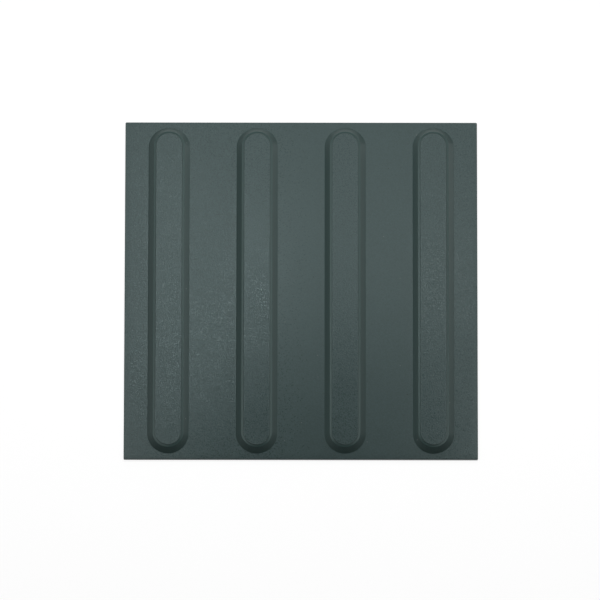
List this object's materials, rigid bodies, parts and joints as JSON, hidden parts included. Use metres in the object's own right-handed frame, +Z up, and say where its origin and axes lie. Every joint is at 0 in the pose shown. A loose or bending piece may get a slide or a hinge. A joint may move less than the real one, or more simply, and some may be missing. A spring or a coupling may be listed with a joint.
{
  "type": "tactile paving slab",
  "caption": "Thin square tactile paving slab with flat-topped, round-ended guiding bars, moulded in one piece from dark green-grey polymer, that leads walkers along its bars.",
  "frame": {"origin": "middle of the flat underside", "axes": "+Z up out of the walking face, +Y along the bars, +X across them"},
  "size_m": [0.3, 0.3, 0.008],
  "materials": {
    "moulded_polymer": "dark green-grey through-coloured polymer, fine moulded grain on the plate and the treads, smooth flanks and shoulders"
  },
  "bodies": {
    "root": {"slab": "moulded_polymer"}
  },
  "joints": []
}
